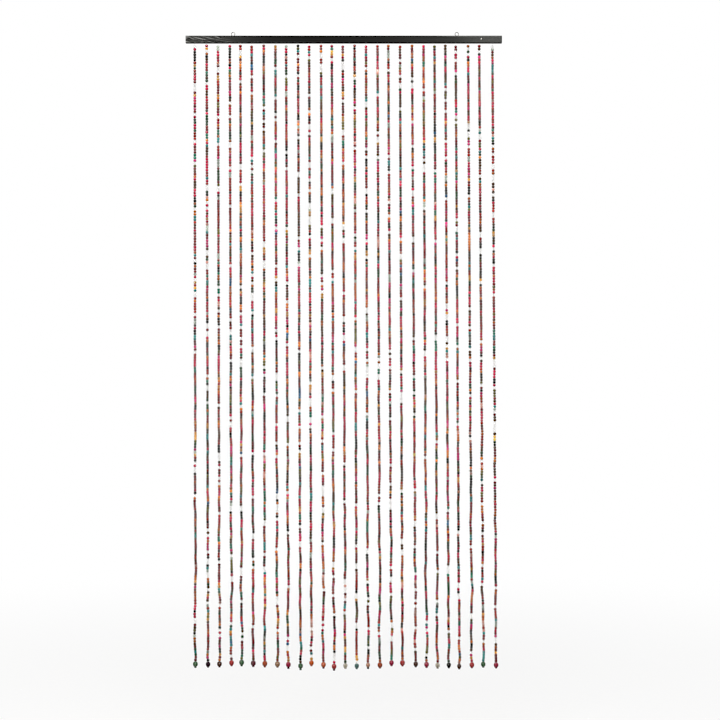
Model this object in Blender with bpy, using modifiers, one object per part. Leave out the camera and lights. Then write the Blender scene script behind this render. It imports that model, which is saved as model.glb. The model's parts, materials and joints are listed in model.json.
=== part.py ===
"""Bead curtain: a painted batten with twenty-seven hanging strands of small beads.

Metres, +Z up. The origin is the middle of the batten's top face. X runs along the batten
and the curtain's front faces -Y. Each strand is a string knotted in its own hole of the
batten. Its small beads are one slim four-sided column, and a larger bead hangs at its
lower end, over a small stopper bead. Two screw eyes in the batten's top edge hang it all.
"""

import math
from typing import NamedTuple

import bpy
from mathutils import Vector

MM = 0.001
CLEARANCE = 0.0003

# Whole curtain
CURTAIN_WIDTH = 0.900
CURTAIN_DROP = 1.800
STRAND_PITCH = 0.0326

# Batten
BATTEN_HEIGHT = 0.020
BATTEN_DEPTH = 0.014
BATTEN_EDGE = 0.0008
HOLE_RADIUS = 0.0012
RECESS_RADIUS = 0.0026
RECESS_DEPTH = 0.0050
DRILL_SIDES = 8
DRILL_OVERRUN = 0.002

# String, knot and small beads
STRING_RADIUS = 0.00055
KNOT_RADIUS = 0.0018
KNOT_TOP = 0.0010
KNOT_HEIGHT = 0.0034
KNOT_TAPER = 0.30
BEAD_RADIUS = 0.0040
SHOULDER = 0.0012
BARE_STRING = 0.0055
BARE_STRING_SPREAD = 0.0015
STOPPER_RADIUS = 0.0031
STOPPER_TAPER = 0.30

# How the strands hang: beside their own lean, a slight sway that grows downwards and has
# no share in where the end bead hangs
SWAY_ACROSS = 0.0024
SWAY_DEEP = 0.0014
SWAY_LENGTH = 0.330
SWAY_LENGTH_SPREAD = 0.30
SWAY_TURN = math.radians(137.5)
UPPER_STEP = 0.100
LOWER_STEP = 0.055
LOWER_PART = 0.330

# End bead: an oval turned round its string hole, widest a little above its middle
END_BEAD_RADIUS = 0.0067
END_BEAD_HEIGHT = 0.0146
END_BEAD_WIDEST = 0.0004
END_BEAD_HOLE = 0.0012
END_BEAD_BANDS = 6
END_BEAD_STEPS = 10

# Screw eyes, behind the row of strand holes
EYE_RADIUS = 0.0050
EYE_WIRE_RADIUS = 0.00085
EYE_RISE = 0.0064
EYE_BEHIND = 0.0034
EYE_GAP_ANGLE = -48.0
EYE_NECK_RADIUS = 0.0017
EYE_RING_STEPS = 22
EYE_NECK_STEPS = 4
SHANK_DEPTH = 0.0110
SHANK_HOLE_RADIUS = 0.00125
SHANK_HOLE_DEPTH = 0.0120

# Paints and plastics: linear colour and roughness
FINISHES = {
    "batten_paint": ((0.050, 0.050, 0.046), 0.55),
    "small_beads": ((0.140, 0.030, 0.035), 0.25),
    "bottle_green": ((0.040, 0.100, 0.045), 0.20),
    "aubergine": ((0.020, 0.008, 0.014), 0.20),
    "dark_brown": ((0.060, 0.025, 0.018), 0.20),
    "red": ((0.330, 0.035, 0.035), 0.20),
    "maroon": ((0.090, 0.016, 0.024), 0.20),
    "rust": ((0.300, 0.060, 0.025), 0.20),
    "tan": ((0.330, 0.190, 0.110), 0.20),
    "crimson": ((0.260, 0.018, 0.045), 0.20),
    "orange": ((0.450, 0.080, 0.020), 0.20),
    "clear": ((0.520, 0.480, 0.400), 0.15),
    "teal": ((0.150, 0.260, 0.240), 0.15),
    "peach": ((0.500, 0.260, 0.170), 0.20),
    "black": ((0.010, 0.010, 0.010), 0.20),
}
EYE_STEEL = (0.300, 0.280, 0.250)
EYE_STEEL_ROUGHNESS = 0.35


class Eye(NamedTuple):
    """One screw eye: its place along the batten, and how far it is turned."""

    name: str
    x: float
    turn_degrees: float


EYES = (
    Eye("eye_left", -0.3156, 0.0),
    Eye("eye_right", 0.3220, 6.0),
)


class Strand(NamedTuple):
    """One strand, as it differs from an even row of plumb ones."""

    drift_mm: float
    lean_mm: float
    drop_mm: float
    bead: str
    size: float
    stopper_mm: float


# drift: its hole beside the even spacing; lean: how far its end hangs to the right of its
# hole; drop: its end below the mean end; bead and size: the end bead's finish and scale;
# stopper: the height of the stopper bead under it
STRANDS = (
    Strand(-0.6, 1.7, -0.6, "bottle_green", 1.03, 3.2),
    Strand(0.7, 4.1, -1.8, "aubergine", 0.97, 2.4),
    Strand(0.3, 4.4, -2.5, "dark_brown", 1.00, 2.4),
    Strand(1.3, 5.2, -5.8, "red", 1.00, 2.4),
    Strand(-1.1, 3.6, -5.4, "bottle_green", 1.03, 3.2),
    Strand(-1.5, 4.6, -3.0, "maroon", 1.05, 3.2),
    Strand(0.1, 3.2, -1.9, "rust", 1.05, 3.2),
    Strand(0.8, 6.0, -1.6, "tan", 1.05, 2.4),
    Strand(-1.3, 6.6, 1.6, "crimson", 1.03, 4.4),
    Strand(0.0, 7.4, 5.5, "bottle_green", 1.00, 4.8),
    Strand(-1.0, 6.8, -5.4, "orange", 0.97, 2.4),
    Strand(0.3, 7.1, 1.6, "orange", 1.00, 4.0),
    Strand(-1.6, 6.6, 7.6, "red", 1.00, 4.8),
    Strand(-3.1, 7.7, 2.0, "clear", 0.92, 2.4),
    Strand(-2.1, 6.5, 2.6, "teal", 0.93, 2.4),
    Strand(-2.0, 5.9, 1.9, "peach", 0.85, 4.8),
    Strand(-1.8, 7.1, 0.7, "rust", 1.02, 2.4),
    Strand(-3.7, 9.3, -5.6, "crimson", 0.97, 2.4),
    Strand(-2.9, 7.1, -4.8, "red", 1.05, 2.4),
    Strand(-1.4, 10.9, -2.4, "dark_brown", 0.96, 2.4),
    Strand(-1.2, 8.8, -0.9, "crimson", 1.00, 2.4),
    Strand(-2.5, 8.8, 1.0, "clear", 0.95, 2.4),
    Strand(-4.3, 10.1, -0.1, "black", 0.93, 2.4),
    Strand(-7.3, 10.1, 3.4, "dark_brown", 0.88, 2.4),
    Strand(-4.6, 11.0, 0.5, "red", 1.00, 2.4),
    Strand(-5.6, 11.7, -1.5, "bottle_green", 0.97, 2.4),
    Strand(-0.6, 10.7, 0.5, "crimson", 1.00, 2.4),
)
MIDDLE_STRAND = (len(STRANDS) + 1) // 2


def clear_scene():
    """Remove what a new file holds."""
    for item in list(bpy.data.objects):
        bpy.data.objects.remove(item, do_unlink=True)


def new_collection(name):
    """A collection in the scene."""
    collection = bpy.data.collections.new(name)
    bpy.context.scene.collection.children.link(collection)
    return collection


def new_material(name, color, roughness, metallic=0.0):
    """A plain Principled finish."""
    material = bpy.data.materials.new(name)
    material.use_nodes = True
    shader = material.node_tree.nodes["Principled BSDF"]
    shader.inputs["Base Color"].default_value = (*color, 1.0)
    shader.inputs["Roughness"].default_value = roughness
    shader.inputs["Metallic"].default_value = metallic
    return material


def place(name, data, collection, material, location=(0.0, 0.0, 0.0)):
    """An object of this mesh or curve, with a finish of its own."""
    item = bpy.data.objects.new(name, data)
    collection.objects.link(item)
    item.location = location
    if not data.materials:
        data.materials.append(None)
    item.material_slots[0].link = "OBJECT"
    item.material_slots[0].material = material
    return item


def turned_mesh(name, profile, steps, closed):
    """A solid turned round Z from (radius, height) points that run down its outer side."""
    count = len(profile)
    edges = [(i, i + 1) for i in range(count - 1)]
    if closed:
        edges.append((count - 1, 0))
    outline = bpy.data.meshes.new(name + "_outline")
    outline.from_pydata([(radius, 0.0, height) for radius, height in profile], edges, [])
    blank = bpy.data.objects.new(name + "_blank", outline)
    bpy.context.scene.collection.objects.link(blank)
    screw = blank.modifiers.new("turn", "SCREW")
    screw.axis = "Z"
    screw.steps = steps
    screw.render_steps = steps
    screw.use_merge_vertices = True
    screw.merge_threshold = 1e-6
    bpy.context.view_layer.update()
    evaluated = blank.evaluated_get(bpy.context.evaluated_depsgraph_get())
    mesh = bpy.data.meshes.new_from_object(evaluated)
    mesh.name = name
    bpy.data.objects.remove(blank, do_unlink=True)
    bpy.data.meshes.remove(outline)
    return mesh


def tube_curve(name, points, radii, sides_beyond_four=0):
    """A capped tube along these points, with a radius at each of them."""
    curve = bpy.data.curves.new(name, "CURVE")
    curve.dimensions = "3D"
    curve.twist_mode = "MINIMUM"
    curve.bevel_depth = 1.0
    curve.bevel_resolution = sides_beyond_four
    curve.use_fill_caps = True
    line = curve.splines.new("POLY")
    line.points.add(len(points) - 1)
    for knot, point, radius in zip(line.points, points, radii):
        knot.co = (*point, 1.0)
        knot.radius = radius
    return curve


def hole_centre(number):
    """Where this strand's hole lies along the batten."""
    return (number - MIDDLE_STRAND) * STRAND_PITCH + STRANDS[number - 1].drift_mm * MM


def strand_end(number):
    """Height of the lower tip of this strand's stopper bead."""
    return -CURTAIN_DROP - STRANDS[number - 1].drop_mm * MM


def stopper_height(number):
    """How tall this strand's stopper bead is."""
    return STRANDS[number - 1].stopper_mm * MM


def half_end_bead(number):
    """Half the height of this strand's end bead."""
    return END_BEAD_HEIGHT * STRANDS[number - 1].size / 2


def bead_centre_height(number):
    """Height of the middle of this strand's end bead, which rests on the stopper."""
    return strand_end(number) + stopper_height(number) + CLEARANCE + half_end_bead(number)


def column_bottom(number):
    """Height where the column of small beads ends, just above the end bead."""
    return bead_centre_height(number) + half_end_bead(number) + CLEARANCE


def hang(number, height):
    """The strand's middle at this height: its lean, and a sway that grows downwards."""
    share = max(0.0, (-BATTEN_HEIGHT - height) / (CURTAIN_DROP - BATTEN_HEIGHT))
    lean = STRANDS[number - 1].lean_mm * MM * share
    length = SWAY_LENGTH * (1 + SWAY_LENGTH_SPREAD * math.sin(number * SWAY_TURN))
    wave = 2 * math.pi * (height - column_bottom(number)) / length
    growth = share * share
    across = SWAY_ACROSS * math.cos(number * SWAY_TURN)
    x = hole_centre(number) + lean + across * growth * math.sin(wave)
    y = SWAY_DEEP * growth * math.cos(wave + number)
    return x, y


def column_heights(top, bottom):
    """Heights where the bead column bends: wide steps first, close ones near its end."""
    heights = []
    height = top - SHOULDER
    while height - UPPER_STEP > bottom + LOWER_PART:
        height -= UPPER_STEP
        heights.append(height)
    steps = math.ceil((height - bottom - SHOULDER) / LOWER_STEP)
    step = (height - bottom - SHOULDER) / steps
    heights += [height - step * k for k in range(1, steps)]
    return heights


def strand_sections(number):
    """Rows of (height, radius) down one strand, from its knot to its stopper bead."""
    bare = BARE_STRING + BARE_STRING_SPREAD * math.sin(number * SWAY_TURN)
    top = -BATTEN_HEIGHT - bare
    bottom = column_bottom(number)
    knot_top = -KNOT_TOP
    knot_bottom = knot_top - KNOT_HEIGHT
    knot_taper = KNOT_HEIGHT * KNOT_TAPER
    tip = strand_end(number)
    stopper_top = tip + stopper_height(number)
    stopper_taper = stopper_height(number) * STOPPER_TAPER
    rows = [
        (knot_top, STRING_RADIUS),
        (knot_top - knot_taper, KNOT_RADIUS),
        (knot_bottom + knot_taper, KNOT_RADIUS),
        (knot_bottom, STRING_RADIUS),
        (top, STRING_RADIUS),
        (top - SHOULDER, BEAD_RADIUS),
    ]
    rows += [(height, BEAD_RADIUS) for height in column_heights(top, bottom)]
    rows += [
        (bottom + SHOULDER, BEAD_RADIUS),
        (bottom, STRING_RADIUS),
        (stopper_top, STRING_RADIUS),
        (stopper_top - stopper_taper, STOPPER_RADIUS),
        (tip + stopper_taper, STOPPER_RADIUS),
        (tip, STRING_RADIUS),
    ]
    return rows


def make_strand(number, collection, material):
    """One string with its knot, its column of small beads and its stopper bead."""
    rows = strand_sections(number)
    points = []
    for height, _ in rows:
        x, y = hang(number, max(height, column_bottom(number)))
        points.append((x, y, height))
    radii = [radius for _, radius in rows]
    name = f"strand_{number:02d}"
    return place(name, tube_curve(name, points, radii), collection, material)


def end_bead_profile():
    """Outer side of the end bead, from the upper rim of its string hole to the lower one."""
    rim = math.asin(END_BEAD_HOLE / END_BEAD_RADIUS)
    points = []
    for band in range(END_BEAD_BANDS + 1):
        turn = rim + (math.pi - 2 * rim) * band / END_BEAD_BANDS
        rise = math.cos(turn) / math.cos(rim)
        upper = band < END_BEAD_BANDS / 2
        reach = END_BEAD_HEIGHT / 2 + (-END_BEAD_WIDEST if upper else END_BEAD_WIDEST)
        points.append((END_BEAD_RADIUS * math.sin(turn), END_BEAD_WIDEST + reach * rise))
    return points


def make_end_beads(collection, finishes):
    """The larger bead at the end of each strand. All share one turned mesh."""
    mesh = turned_mesh("end_bead", end_bead_profile(), END_BEAD_STEPS, closed=True)
    mesh.shade_smooth()
    for number, strand in enumerate(STRANDS, start=1):
        x, y = hang(number, column_bottom(number))
        middle = (x, y, bead_centre_height(number))
        name = f"end_bead_{number:02d}"
        bead = place(name, mesh, collection, finishes[strand.bead], middle)
        bead.scale = (strand.size,) * 3


def eye_path():
    """Middle line of a screw eye's wire, in its own plane: open end, ring, neck, shank."""
    neck_cosine = -EYE_NECK_RADIUS / (EYE_RADIUS + EYE_NECK_RADIUS)
    last_angle = 2 * math.pi - math.acos(neck_cosine)
    first_angle = math.radians(EYE_GAP_ANGLE)
    points = []
    for step in range(EYE_RING_STEPS + 1):
        angle = first_angle + (last_angle - first_angle) * step / EYE_RING_STEPS
        points.append((EYE_RADIUS * math.cos(angle), EYE_RISE + EYE_RADIUS * math.sin(angle)))
    neck_x = -EYE_NECK_RADIUS
    neck_z = EYE_RISE + (EYE_RADIUS + EYE_NECK_RADIUS) * math.sin(last_angle)
    start = last_angle - math.pi
    for step in range(1, EYE_NECK_STEPS + 1):
        angle = start * (1 - step / EYE_NECK_STEPS)
        points.append(
            (neck_x + EYE_NECK_RADIUS * math.cos(angle), neck_z + EYE_NECK_RADIUS * math.sin(angle))
        )
    points.append((0.0, -SHANK_DEPTH))
    return [Vector((x, 0.0, z)) for x, z in points]


def make_eyes(collection, material):
    """The two screw eyes in the batten's top edge."""
    points = eye_path()
    radii = [EYE_WIRE_RADIUS] * len(points)
    curve = tube_curve("screw_eye", points, radii, sides_beyond_four=2)
    for row in EYES:
        eye = place(row.name, curve, collection, material, (row.x, EYE_BEHIND, 0.0))
        eye.rotation_euler.z = math.radians(row.turn_degrees)


def make_drills(collection):
    """Cutters for the strands' stepped holes and the screw eyes' pilot holes."""
    through = BATTEN_HEIGHT + DRILL_OVERRUN
    stepped = turned_mesh(
        "strand_drill",
        [
            (0.0, DRILL_OVERRUN),
            (RECESS_RADIUS, DRILL_OVERRUN),
            (RECESS_RADIUS, -RECESS_DEPTH),
            (HOLE_RADIUS, -RECESS_DEPTH),
            (HOLE_RADIUS, -through),
            (0.0, -through),
        ],
        DRILL_SIDES,
        closed=False,
    )
    pilot = turned_mesh(
        "eye_drill",
        [
            (0.0, DRILL_OVERRUN),
            (SHANK_HOLE_RADIUS, DRILL_OVERRUN),
            (SHANK_HOLE_RADIUS, -SHANK_HOLE_DEPTH),
            (0.0, -SHANK_HOLE_DEPTH),
        ],
        DRILL_SIDES,
        closed=False,
    )
    places = [(stepped, hole_centre(n), 0.0) for n in range(1, len(STRANDS) + 1)]
    places += [(pilot, eye.x, EYE_BEHIND) for eye in EYES]
    for mesh, x, y in places:
        drill = bpy.data.objects.new(mesh.name, mesh)
        collection.objects.link(drill)
        drill.location = (x, y, 0.0)
        drill.display_type = "WIRE"
        drill.hide_render = True


def make_batten(collection, drills, material):
    """The drilled batten, its long edges slightly rounded."""
    bpy.ops.mesh.primitive_cube_add(size=1.0, location=(0.0, 0.0, -BATTEN_HEIGHT / 2))
    batten = bpy.context.object
    batten.name = "batten"
    batten.scale = (CURTAIN_WIDTH, BATTEN_DEPTH, BATTEN_HEIGHT)
    bpy.ops.object.transform_apply(location=False, rotation=False, scale=True)
    for owner in list(batten.users_collection):
        owner.objects.unlink(batten)
    collection.objects.link(batten)
    batten.data.materials.append(material)
    edges = batten.modifiers.new("rounded_edges", "BEVEL")
    edges.width = BATTEN_EDGE
    edges.segments = 2
    holes = batten.modifiers.new("holes", "BOOLEAN")
    holes.operation = "DIFFERENCE"
    holes.operand_type = "COLLECTION"
    holes.collection = drills
    holes.solver = "EXACT"
    return batten


def main():
    """Build the curtain in its own collection."""
    clear_scene()
    curtain = new_collection("bead_curtain")
    drills = new_collection("drills")
    finishes = {name: new_material(name, *look) for name, look in FINISHES.items()}
    steel = new_material("eye_steel", EYE_STEEL, EYE_STEEL_ROUGHNESS, metallic=1.0)
    make_drills(drills)
    make_batten(curtain, drills, finishes["batten_paint"])
    make_eyes(curtain, steel)
    for number in range(1, len(STRANDS) + 1):
        make_strand(number, curtain, finishes["small_beads"])
    make_end_beads(curtain, finishes)


main()
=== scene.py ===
"""Looks of a bead curtain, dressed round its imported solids.

Twenty-seven strings hang from a dark painted batten. Each is knotted in its own hole, carries
about 228 small glossy beads of mixed colours and ends in a larger marbled bead over a small
stopper bead. Two wire screw eyes in the batten's top edge hold it up.

Metres, +Z up. X runs along the batten, and the curtain's front faces -Y. Every place is read
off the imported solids, so each piece hangs where its solid does.
"""

import json
import logging
import math
from dataclasses import dataclass, field
from enum import Enum
from typing import ClassVar, NamedTuple

import bpy
import numpy as np
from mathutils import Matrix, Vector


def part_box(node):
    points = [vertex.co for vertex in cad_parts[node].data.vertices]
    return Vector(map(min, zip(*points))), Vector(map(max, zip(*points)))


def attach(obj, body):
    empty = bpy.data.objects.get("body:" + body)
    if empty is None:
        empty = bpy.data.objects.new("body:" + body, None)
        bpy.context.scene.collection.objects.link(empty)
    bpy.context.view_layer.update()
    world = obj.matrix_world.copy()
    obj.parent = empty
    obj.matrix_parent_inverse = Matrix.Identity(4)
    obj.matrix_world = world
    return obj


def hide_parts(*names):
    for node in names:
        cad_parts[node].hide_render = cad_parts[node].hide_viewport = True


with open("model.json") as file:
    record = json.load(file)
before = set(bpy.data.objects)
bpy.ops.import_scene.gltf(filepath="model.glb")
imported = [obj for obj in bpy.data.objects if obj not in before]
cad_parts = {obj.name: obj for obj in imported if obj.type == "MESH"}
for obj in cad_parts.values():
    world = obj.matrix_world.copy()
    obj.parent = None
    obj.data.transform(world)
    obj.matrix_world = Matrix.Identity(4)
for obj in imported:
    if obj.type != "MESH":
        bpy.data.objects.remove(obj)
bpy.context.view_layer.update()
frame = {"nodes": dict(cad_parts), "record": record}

LOG = logging.getLogger("bead_curtain")
MM = 0.001
FULL_TURN = 2 * math.pi
GOLDEN_TURN = math.radians(137.5)
BODY = "root"
STRAND_COUNT = 27
RIGHT_EYE_TURN = math.radians(6.0)
END_TINTS = {row["slot"]: tuple(row["base_color"]) for row in frame["record"]["materials"]}
NODE_SLOTS = {row["node"]: row["material_slot"] for row in frame["record"]["subparts"]}
END_SEE_THROUGH = {"clear": 0.80, "teal": 0.55, "tan": 0.25, "peach": 0.20}
BEAD_SEE_THROUGH = {"SOLID": 0.0, "TINTED": 0.70, "CLEAR": 1.0}

Array = np.ndarray
Colour = tuple[float, float, float]
Point = tuple[float, float, float]
Band = tuple[float, float]
Socket = bpy.types.NodeSocket


# Meshes as whole arrays

@dataclass
class Skin:
    """A mesh that grows patch by patch: points, faces, and values that belong to its points."""

    points: list[Array] = field(default_factory=list)
    corners: list[Array] = field(default_factory=list)
    sizes: list[Array] = field(default_factory=list)
    finishes: list[Array] = field(default_factory=list)
    count: int = 0

    def add_points(self, points: Array) -> Array:
        """Take in points on a grid of any shape.

        Args:
            points: coordinates in metres, with x, y and z on the last axis.

        Returns:
            Each point's number in the mesh, on a grid of the same shape.
        """
        shape = points.shape[:-1]
        first = self.count
        self.points.append(points.reshape(-1, 3))
        self.count += int(np.prod(shape))
        return np.arange(first, self.count).reshape(shape)

    def add_faces(self, faces: Array, finish: Array | int = 0) -> None:
        """Take in faces that all have the same number of corners.

        Args:
            faces: point numbers, with each face's corners on the last axis.
            finish: which of the piece's materials each face has, or one for all of them.
        """
        rows = faces.reshape(-1, faces.shape[-1])
        self.corners.append(rows.ravel())
        self.sizes.append(np.full(len(rows), rows.shape[1]))
        self.finishes.append(np.broadcast_to(finish, len(rows)).astype(np.int32))

    def close_ends(self, rings: Array) -> None:
        """Close the first and the last ring of a grid with one flat face each."""
        self.add_faces(rings[0][None, :])
        self.add_faces(rings[-1][None, ::-1])

    def make(self, name: str, materials: list[bpy.types.Material], crease: float) -> bpy.types.Object:
        """Turn the patches into one smooth-shaded object at the origin.

        Args:
            name: the piece's name.
            materials: its finishes, in the order that its faces number them.
            crease: the angle in radians past which an edge stays sharp.

        Returns:
            The new object, linked to the scene.
        """
        mesh = bpy.data.meshes.new(name)
        corners = np.concatenate(self.corners)
        sizes = np.concatenate(self.sizes)
        mesh.vertices.add(self.count)
        mesh.vertices.foreach_set("co", np.concatenate(self.points).astype(np.float32).ravel())
        mesh.loops.add(len(corners))
        mesh.loops.foreach_set("vertex_index", corners.astype(np.int32))
        mesh.polygons.add(len(sizes))
        starts = np.concatenate([[0], np.cumsum(sizes)[:-1]])
        mesh.polygons.foreach_set("loop_start", starts.astype(np.int32))
        mesh.polygons.foreach_set("material_index", np.concatenate(self.finishes))
        mesh.update(calc_edges=True)
        mesh.shade_smooth()
        mesh.set_sharp_from_angle(angle=crease)
        for material in materials:
            mesh.materials.append(material)
        piece = bpy.data.objects.new(name, mesh)
        bpy.context.scene.collection.objects.link(piece)
        return piece


class PointValue(Enum):
    """What a piece can hold for its points: the attribute's type and its field in Blender."""

    COLOUR = ("FLOAT_COLOR", "color")
    PLACE = ("FLOAT_VECTOR", "vector")


def write_values(piece: bpy.types.Object, name: str, kind: PointValue, values: Array) -> None:
    """Store a value for each point of a piece, for its materials to read.

    Args:
        piece: the object whose mesh takes the values.
        name: the attribute's name.
        kind: what the values are.
        values: one row for each point.
    """
    layer, key = kind.value
    store = piece.data.attributes.new(name, layer, "POINT")
    store.data.foreach_set(key, values.astype(np.float32).ravel())


def fit(piece: bpy.types.Object, slot: str, *nodes: str) -> None:
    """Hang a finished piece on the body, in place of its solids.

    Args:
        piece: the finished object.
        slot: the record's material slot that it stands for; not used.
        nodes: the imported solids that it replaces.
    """
    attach(piece, BODY)
    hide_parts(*nodes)
    LOG.info("%s: %d faces", piece.name, len(piece.data.polygons))


def unit(vectors: Array) -> Array:
    """Vectors of length one, in the same directions."""
    return vectors / np.linalg.norm(vectors, axis=-1, keepdims=True)


def ring_faces(rings: Array, joined: bool = False) -> Array:
    """Quads between neighbouring rings of points.

    Args:
        rings: point numbers on a grid of rings by places round each ring.
        joined: whether the last ring meets the first one, as on a bead with a bore.

    Returns:
        The corners of each quad, on the last axis.
    """
    upper = rings if joined else rings[..., :-1, :]
    lower = np.roll(rings, -1, axis=-2) if joined else rings[..., 1:, :]
    corners = (upper, lower, np.roll(lower, -1, axis=-1), np.roll(upper, -1, axis=-1))
    return np.stack(corners, axis=-1)


def angles_round(sides: int) -> Array:
    """Angles of evenly spaced places round a circle."""
    return np.arange(sides) * FULL_TURN / sides


def circle(sides: int) -> Array:
    """Points of a unit circle, as rows of cosine and sine, starting at the first axis."""
    angles = angles_round(sides)
    return np.stack([np.cos(angles), np.sin(angles)], axis=-1)


def carried_sides(path: Array) -> tuple[Array, Array]:
    """Two directions across a path at each of its points, turned no more than the path bends.

    The tangent is the difference of the neighbouring points. Each first direction is the one
    before it, less its share along the new tangent. The second is the cross product of the
    first and the tangent.

    Args:
        path: points along the path.

    Returns:
        The two directions at each point, as unit vectors.
    """
    tangents = unit(np.gradient(path, axis=0))
    first = np.empty_like(path)
    start = np.array([0.0, 1.0, 0.0])
    for step, tangent in enumerate(tangents):
        start = unit(start - (start @ tangent) * tangent)
        first[step] = start
    return first, np.cross(first, tangents)


def sweep(skin: Skin, path: Array, radii: Array, sides: int) -> Array:
    """Carry a circle along a path and close its two ends.

    A point is the path's point plus the radius times cosine and sine of its angle, along the
    two directions across the path.

    Args:
        skin: the mesh that takes the tube.
        path: points along the tube's middle.
        radii: the radius at each point, or for each place round each point.
        sides: how many places there are round the tube.

    Returns:
        The numbers of the tube's points, as rings along the path.
    """
    first, second = carried_sides(path)
    turned = circle(sides)
    around = turned[None, :, :1] * first[:, None, :] + turned[None, :, 1:] * second[:, None, :]
    reach = radii.reshape(len(path), -1, 1)
    rings = skin.add_points(path[:, None, :] + reach * around)
    skin.add_faces(ring_faces(rings))
    skin.close_ends(rings)
    return rings


# Node trees

NUMBER = "NodeSocketFloat"
COLOUR = "NodeSocketColor"
PLACE = "NodeSocketVector"

WHITE = (1.0, 1.0, 1.0, 1.0)

# Places of the Mix node's sockets
MIX_SHARE = 0
MIX_LOW = 2
MIX_HIGH = 3
MIX_FIRST = 6
MIX_SECOND = 7
MIX_COLOUR = 2


class Recipe:
    """A node tree that is being filled, with a short call for each kind of node in use."""

    def __init__(self, tree: bpy.types.NodeTree) -> None:
        """Start on this tree."""
        self.tree = tree

    def add(self, kind: str, inputs: dict[str | int, object], **settings: object) -> bpy.types.Node:
        """Add a node, set it up and feed its inputs.

        Args:
            kind: the node's type.
            inputs: a value, or a socket to join, for each input by its name or place.
            settings: the node's own properties.

        Returns:
            The new node.
        """
        node = self.tree.nodes.new(kind)
        for key, value in settings.items():
            setattr(node, key, value)
        for key, value in inputs.items():
            if isinstance(value, Socket):
                self.tree.links.new(value, node.inputs[key])
            else:
                node.inputs[key].default_value = value
        return node

    def value_of(self, name: str) -> bpy.types.Node:
        """Read an attribute that the piece holds for its points."""
        return self.add("ShaderNodeAttribute", {}, attribute_name=name)

    def place(self) -> Socket:
        """Read the place on the object, in metres."""
        return self.add("ShaderNodeTexCoord", {}).outputs["Object"]

    def in_frame(
        self, place: Socket, units: Point, turn: float = 0.0, origin: Point = (0.0, 0.0, 0.0)
    ) -> Socket:
        """Read a place in a frame of its own, so that a pattern there is stretched or slanted.

        Args:
            place: where to read it.
            units: how long the frame's units are along its axes.
            turn: how far the frame is turned about Y, in radians.
            origin: where the frame's origin lies.

        Returns:
            The place in the frame's units.
        """
        inputs = {"Vector": place, "Location": origin, "Rotation": (0.0, turn, 0.0), "Scale": units}
        return self.add("ShaderNodeMapping", inputs, vector_type="TEXTURE").outputs[0]

    def noise(
        self, place: Socket, scale: float | Socket, detail: float = 2.0, bend: float = 0.0
    ) -> Socket:
        """Soft random values from 0 to 1.

        Args:
            place: where to read them.
            scale: how fine they are.
            detail: how many finer layers are added.
            bend: how far the pattern is distorted.

        Returns:
            The values' socket.
        """
        inputs = {"Vector": place, "Scale": scale, "Detail": detail, "Distortion": bend}
        return self.add("ShaderNodeTexNoise", inputs).outputs[0]

    def spread(
        self, value: Socket, low: float, high: float, to_low: float = 0.0, to_high: float = 1.0
    ) -> Socket:
        """Map low to high onto another range, smoothly and clamped.

        Args:
            value: the socket to map.
            low: the value that gives to_low.
            high: the value that gives to_high.
            to_low: one end of the new range.
            to_high: the other end of the new range.

        Returns:
            The mapped socket.
        """
        inputs = {"Value": value, "From Min": low, "From Max": high, "To Min": to_low, "To Max": to_high}
        return self.add("ShaderNodeMapRange", inputs, interpolation_type="SMOOTHSTEP").outputs[0]

    def calc(self, operation: str, first: Socket, second: Socket | float) -> Socket:
        """Work out one number from two, by an operation such as MULTIPLY or MAXIMUM."""
        return self.add("ShaderNodeMath", {0: first, 1: second}, operation=operation).outputs[0]

    def mixed(
        self, share: Socket | float, first: Socket | Colour, second: Socket | Colour, way: str = "MIX"
    ) -> Socket:
        """Blend two colours.

        Args:
            share: how much of the second shows, from 0 to 1.
            first: the colour beneath.
            second: the colour above.
            way: how the second lies over the first.

        Returns:
            The blended colour.
        """
        whole = [c if isinstance(c, Socket) else (*c, 1.0) for c in (first, second)]
        inputs = {MIX_SHARE: share, MIX_FIRST: whole[0], MIX_SECOND: whole[1]}
        node = self.add("ShaderNodeMix", inputs, data_type="RGBA", blend_type=way)
        return node.outputs[MIX_COLOUR]

    def axis(self, place: Socket, name: str) -> Socket:
        """Take X, Y or Z out of a place."""
        return self.add("ShaderNodeSeparateXYZ", {0: place}).outputs[name]

    def length_of(self, place: Socket) -> Socket:
        """Work out how far a place is from its frame's origin."""
        return self.add("ShaderNodeVectorMath", {0: place}, operation="LENGTH").outputs["Value"]

    def raised(self, height: Socket, depth: float) -> Socket:
        """Turn a height map from 0 to 1 into a bumped normal, with 1 raised by this many metres."""
        inputs = {"Height": height, "Distance": depth, "Strength": 1.0}
        return self.add("ShaderNodeBump", inputs).outputs[0]

    def seen_directly(self, path: bpy.types.Node) -> Socket:
        """Tell what the camera sees, straight on or through clear beads, as 1 against 0.

        Args:
            path: the tree's Light Path node.

        Returns:
            The larger of the camera ray's mark and the count of surfaces passed through, up to 1.
        """
        through = self.calc("MINIMUM", path.outputs["Transmission Depth"], 1.0)
        return self.calc("MAXIMUM", path.outputs["Is Camera Ray"], through)

    def shader(self, inputs: dict[str | int, object]) -> None:
        """Finish a material with one Principled shader."""
        shader = self.add("ShaderNodeBsdfPrincipled", inputs)
        self.add("ShaderNodeOutputMaterial", {"Surface": shader.outputs[0]})


def new_material(name: str) -> tuple[bpy.types.Material, Recipe]:
    """Start an empty node material.

    Args:
        name: the material's name.

    Returns:
        The material and the recipe that fills it.
    """
    material = bpy.data.materials.new(name)
    material.use_nodes = True
    material.node_tree.nodes.clear()
    return material, Recipe(material.node_tree)


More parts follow.
